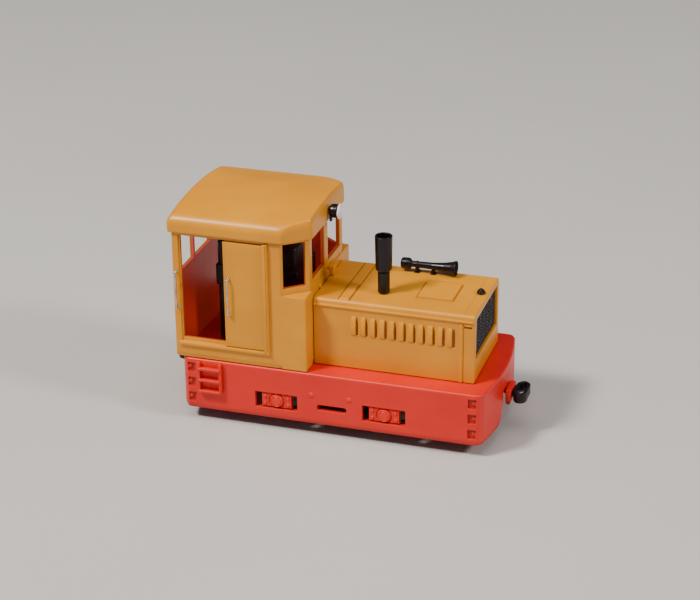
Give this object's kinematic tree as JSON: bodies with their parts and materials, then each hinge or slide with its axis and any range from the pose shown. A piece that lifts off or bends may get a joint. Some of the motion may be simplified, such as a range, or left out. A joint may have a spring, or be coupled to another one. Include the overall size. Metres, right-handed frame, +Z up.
{
  "type": "model diesel locomotive",
  "caption": "Narrow gauge model diesel locomotive with an offset cab, a low hood with louvres, a bowed frame, spur-geared wheelsets, swinging couplers and sliding cab doors.",
  "frame": {"origin": "on the plane the wheel flanges stand on, under the middle of the locomotive", "axes": "+X forward towards the radiator, +Y to the left, +Z up"},
  "size_m": [0.1058, 0.0452, 0.0654],
  "materials": {
    "yellow_plastic": "satin moulded yellow",
    "red_plastic": "satin moulded orange-red",
    "black_plastic": "matt moulded black",
    "gloss_black": "semi-gloss black",
    "grille_black": "black diamond mesh",
    "lens_white": "milky white lens",
    "steel_wire": "bright drawn wire",
    "wheel_steel": "turned steel",
    "weight_metal": "cast metal",
    "circuit_green": "lacquered board",
    "brass": "turned brass",
    "bronze": "spring bronze",
    "gear_plastic": "moulded acetal"
  },
  "bodies": {
    "chassis": {"frame_shell": "red_plastic", "axlebox_front_left": "red_plastic", "axlebox_front_right": "red_plastic", "axlebox_rear_left": "red_plastic", "axlebox_rear_right": "red_plastic", "ladder_left": "red_plastic", "ladder_right": "red_plastic", "coupler_pocket_front": "red_plastic", "coupler_pocket_rear": "red_plastic", "cab_body": "yellow_plastic", "cab_roof": "yellow_plastic", "hood_body": "yellow_plastic", "radiator_grille": "grille_black", "exhaust_pipe": "gloss_black", "silencer": "gloss_black", "air_horn": "gloss_black", "radiator_cap": "gloss_black", "headlight_housing": "gloss_black", "headlight_lens": "lens_white", "pillar_handrail_left": "steel_wire", "pillar_handrail_right": "steel_wire", "interior_cover": "black_plastic", "keeper_plate": "black_plastic", "motor_mount": "black_plastic", "motor_end_cap": "black_plastic", "cab_weight": "weight_metal", "hood_weight": "weight_metal", "chassis_block": "weight_metal", "circuit_board": "circuit_green", "coupler_pin_front": "brass", "coupler_pin_rear": "brass", "pickup_left": "bronze", "pickup_right": "bronze", "motor_casing": "wheel_steel", "body_screw_front": "wheel_steel", "body_screw_rear": "wheel_steel", "keeper_screw_front": "wheel_steel", "keeper_screw_rear": "wheel_steel"},
    "front_wheelset": {"axle_front": "wheel_steel", "wheel_front_left": "wheel_steel", "wheel_front_right": "wheel_steel", "axle_gear_front": "gear_plastic"},
    "rear_wheelset": {"axle_rear": "wheel_steel", "wheel_rear_left": "wheel_steel", "wheel_rear_right": "wheel_steel", "axle_gear_rear": "gear_plastic"},
    "idler_1": {"idler_gear_1": "gear_plastic"},
    "idler_2": {"idler_gear_2": "gear_plastic"},
    "idler_3": {"idler_gear_3": "gear_plastic"},
    "reduction": {"reduction_gear": "gear_plastic"},
    "motor_rotor": {"motor_pinion_shaft": "brass"},
    "front_coupler": {"coupler_front": "black_plastic"},
    "rear_coupler": {"coupler_rear": "black_plastic"},
    "right_door": {"door_right": "yellow_plastic", "door_handle_right": "steel_wire"},
    "left_door": {"door_left": "yellow_plastic", "door_handle_left": "steel_wire"}
  },
  "joints": [
    {"name": "front_wheelset_spin", "type": "hinge", "parent": "chassis", "child": "front_wheelset", "pos_m": [0.016, 0, 0.0085], "axis": [0, 1, 0], "continuous": true},
    {"name": "rear_wheelset_spin", "type": "hinge", "parent": "chassis", "child": "rear_wheelset", "pos_m": [-0.016, 0, 0.0085], "axis": [0, 1, 0], "continuous": true},
    {"name": "idler_1_spin", "type": "hinge", "parent": "chassis", "child": "idler_1", "pos_m": [-0.008, 0, 0.0085], "axis": [0, 1, 0], "continuous": true},
    {"name": "idler_2_spin", "type": "hinge", "parent": "chassis", "child": "idler_2", "pos_m": [0, 0, 0.0085], "axis": [0, 1, 0], "continuous": true},
    {"name": "idler_3_spin", "type": "hinge", "parent": "chassis", "child": "idler_3", "pos_m": [0.008, 0, 0.0085], "axis": [0, 1, 0], "continuous": true},
    {"name": "reduction_spin", "type": "hinge", "parent": "chassis", "child": "reduction", "pos_m": [0.008, 0, 0.0185], "axis": [0, 1, 0], "continuous": true},
    {"name": "motor_spin", "type": "hinge", "parent": "chassis", "child": "motor_rotor", "pos_m": [0.008, 0, 0.027], "axis": [0, 1, 0], "continuous": true},
    {"name": "front_coupler_swing", "type": "hinge", "parent": "chassis", "child": "front_coupler", "pos_m": [0.04, 0, 0.0118], "axis": [0, 0, 1], "range_deg": [-7, 7]},
    {"name": "rear_coupler_swing", "type": "hinge", "parent": "chassis", "child": "rear_coupler", "pos_m": [-0.04, 0, 0.0118], "axis": [0, 0, 1], "range_deg": [-7, 7]},
    {"name": "right_door_slide", "type": "slide", "parent": "chassis", "child": "right_door", "axis": [-1, 0, 0], "range_m": [0, 0.0123]},
    {"name": "left_door_slide", "type": "slide", "parent": "chassis", "child": "left_door", "axis": [-1, 0, 0], "range_m": [0, 0.0123]}
  ],
  "couplings": [
    {"joint": "idler_3_spin", "follows": "front_wheelset_spin", "ratio": -1},
    {"joint": "idler_2_spin", "follows": "front_wheelset_spin", "ratio": 1},
    {"joint": "idler_1_spin", "follows": "front_wheelset_spin", "ratio": -1},
    {"joint": "rear_wheelset_spin", "follows": "front_wheelset_spin", "ratio": 1},
    {"joint": "reduction_spin", "follows": "front_wheelset_spin", "ratio": 0.66667},
    {"joint": "motor_spin", "follows": "front_wheelset_spin", "ratio": -1.6}
  ]
}
